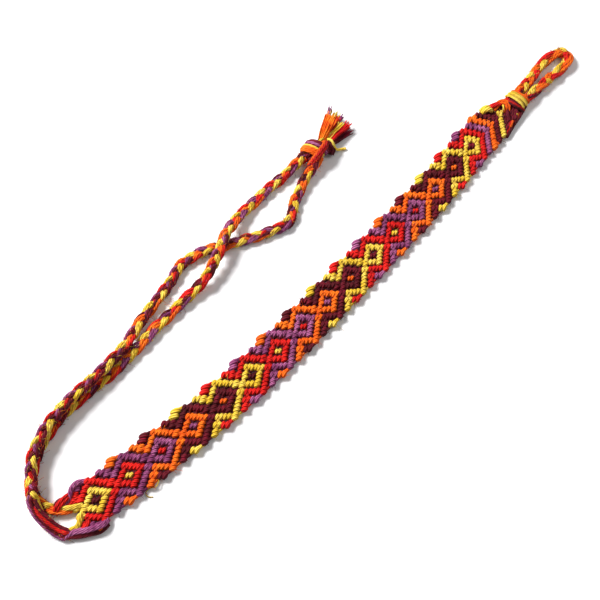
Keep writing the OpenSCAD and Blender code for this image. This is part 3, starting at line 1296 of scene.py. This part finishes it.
# Fluff, and the curly pale end that pokes out of the band's lower edge
STRAY_END = [
    (-70.4, -3.9, 1.0),
    (-71.9, -4.7, 1.0),
    (-73.2, -3.9, 0.6),
    (-74.5, -3.9, 0.4),
    (-74.7, -4.8, 0.2),
    (-74, -5.6, 0.2),
]
STRAY_END_R = 0.12
HAIR_R = 0.036
HAIR_TONE = 1.3
HAIRS_AT_EDGE_KNOT = 6
HAIRS_AT_KNOT = 3
HAIRS_AT_POINT = 5
# Most hairs are short: their share, and the lengths of the short and the long ones
SHORT_SHARE = 0.9
SHORT_HAIRS = (0.4, 1.0)
LONG_HAIRS = (1.0, 1.6)


def band_hairs(dice):
    """Root, heading and colour of the hairs on the band."""
    for c, r in knot_sites():
        for _ in range(HAIRS_AT_EDGE_KNOT if abs(r) == EDGE_ROW else HAIRS_AT_KNOT):
            shift = Vector((dice.uniform(-0.8, 0.8), dice.uniform(-0.5, 0.5), BAND_THICKNESS - 0.35))
            place = lattice(c, r) + shift
            out = Vector((dice.gauss(0, 0.6), dice.gauss(0, 0.6), dice.uniform(0.2, 1)))
            if abs(r) == EDGE_ROW:
                side = math.copysign(1, r)
                place += Vector((0, side * 0.5, -0.5))
                out = Vector((dice.gauss(0, 0.7), side * dice.uniform(0.3, 1), dice.gauss(0, 0.4)))
            yield place, out, knot_colour(c, r)


def braid_hairs(dice, route, begin):
    """Root, heading and colour of the hairs on a braid, all round but for its underside."""
    path = spline(route, BRAID_STEP)
    for point, heading, s in zip(path, directions(path), travel(path)):
        for _ in range(HAIRS_AT_POINT if s > begin else 0):
            turn = dice.uniform(-0.6, math.pi + 0.6)
            side = heading.cross(UP).normalized()
            out = side * math.cos(turn) + side.cross(heading) * math.sin(turn)
            colour = dice.choice((YELLOW, RED, PURPLE, ORANGE, MAROON))
            yield point + out * 0.95, out + heading * dice.gauss(0, 0.8), colour


def loose_fibres(routes):
    """Fine hairs that stand off the floss all over, and one stray end."""
    skein = Skein()
    dice = random.Random(FIBRE_SEED)
    roots = list(band_hairs(dice))
    for route, begin in routes:
        roots += braid_hairs(dice, route, begin)
    for place, out, colour in roots:
        reach = dice.uniform(*(SHORT_HAIRS if dice.random() < SHORT_SHARE else LONG_HAIRS))
        curl = scatter(dice, 0.35, 0.35, 0.35)
        points = [place - out.normalized() * 0.2]
        for step in (0.35, 0.7, 1.0):
            points.append(place + (out.normalized() * step + curl * step * step) * reach)
        for point in points:
            point.z = max(point.z, HAIR_R)
        skein.thread(points, HAIR_R, colour, HAIR_TONE, sides=3, plies=1)
    skein.thread(spline(STRAY_END, THREAD_STEP), STRAY_END_R, YELLOW, HAIR_TONE, sides=5)
    return skein.build("loose_fibres")


# Camera, light and ground


def place_camera():
    """The camera at the photograph's viewing angle."""
    data = bpy.data.cameras.new("camera")
    data.lens = CAMERA_LENS
    data.sensor_width = CAMERA_SENSOR
    data.clip_start = CAMERA_CLIP_START
    camera = bpy.data.objects.new("camera", data)
    camera.location = CAMERA_PLACE * MM
    camera.rotation_euler = CAMERA_FORWARD.to_track_quat("-Z", "Y").to_euler()
    bpy.context.scene.collection.objects.link(camera)
    bpy.context.scene.camera = camera


def place_light(name, place, size, power):
    """A round soft lamp that points at the zero."""
    data = bpy.data.lights.new(name, "AREA")
    data.shape = "DISK"
    data.size = size
    data.energy = power
    lamp = bpy.data.objects.new(name, data)
    lamp.location = place
    lamp.rotation_euler = (-Vector(place)).to_track_quat("-Z", "Y").to_euler()
    bpy.context.scene.collection.objects.link(lamp)


def studio():
    """The pale table that it lies on, the room's light and two lamps."""
    bpy.ops.mesh.primitive_plane_add(size=FLOOR_SIZE, location=(0, 0, 0))
    floor = bpy.context.object
    floor.name = "table"
    floor.data.materials.append(table_top())
    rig.stage(floor)
    world = bpy.data.worlds.new("studio")
    bpy.context.scene.world = world
    world.use_nodes = True
    sky = world.node_tree.nodes["Background"].inputs
    sky["Color"].default_value = SKY_COLOUR
    sky["Strength"].default_value = SKY_STRENGTH
    for name, place, size, power in LAMPS:
        place_light(name, place, size, power)
    bpy.context.scene.view_settings.view_transform = "Standard"


place_camera()
studio()

for piece, colour in zip(band_knots(), COLOURS):
    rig.ride(piece, "root")
    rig.replaces(piece, "band")
    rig.slot(piece, f"{colour}_thread")

inner_threads = carried_threads()
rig.ride(inner_threads, "root")
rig.slot(inner_threads, "maroon_thread")

edges = edge_threads()
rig.ride(edges, "root")
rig.slot(edges, "red_thread")

neck = neck_threads()
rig.ride(neck, "root")
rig.slot(neck, "orange_thread")

loop_skein = Skein()
braid(loop_skein, LOOP_ROUTE, LOOP_STRANDS, LOOP_TURNS, 1, 0.0, LOOP_SCALE)
loop = loop_skein.build("loop_braid")
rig.ride(loop, "root")
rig.replaces(loop, "closing_loop")
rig.slot(loop, "orange_thread")

turns = binding_turns()
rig.ride(turns, "root")
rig.replaces(turns, "binding")
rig.slot(turns, "yellow_thread")

knot = knotted_end()
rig.ride(knot, "root")
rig.replaces(knot, "end_knot")
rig.slot(knot, "maroon_thread")

tassel = tassel_threads()
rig.ride(tassel, "root")
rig.replaces(tassel, "tassel")
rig.slot(tassel, "orange_thread")

outer, outer_path, outer_first = tie(
    "outer_braid",
    "outer_tie",
    OUTER_TIE_ROUTE,
    OUTER_STRANDS,
    OUTER_TURNS,
    -1,
    OUTER_BEGIN,
    "maroon_thread",
)
inner, inner_path, inner_first = tie(
    "inner_braid",
    "inner_tie",
    INNER_TIE_ROUTE,
    INNER_STRANDS,
    INNER_TURNS,
    1,
    INNER_BEGIN,
    "purple_thread",
)
roots = tie_roots((outer_first, inner_first))
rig.ride(roots, "root")
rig.slot(roots, "red_thread")

fibres = loose_fibres(
    [(OUTER_TIE_ROUTE, OUTER_BEGIN), (INNER_TIE_ROUTE, INNER_BEGIN), (LOOP_ROUTE, LOOP_BEGIN)]
)
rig.ride(fibres, "root")
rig.slot(fibres, "red_thread")

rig.cord(
    outer,
    exit=outer_path[0],
    length=travel(outer_path)[-1],
    diameter=TIE_WIDTH * MM,
    far_end="knot",
    stiffness="limp",
    lay="loose",
    path=outer_path,
    with_pieces=[knot, tassel],
)
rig.cord(
    inner,
    exit=inner_path[0],
    length=travel(inner_path)[-1],
    diameter=TIE_WIDTH * MM,
    far_end="knot",
    stiffness="limp",
    lay="loose",
    path=inner_path,
    with_pieces=[knot, tassel],
)

dressed_low, dressed_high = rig.bounds()
json.dump(
    {
        "cad": [list(cad_low), list(cad_high)],
        "dressed": [list(dressed_low), list(dressed_high)],
    },
    open("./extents.json", "w"),
)
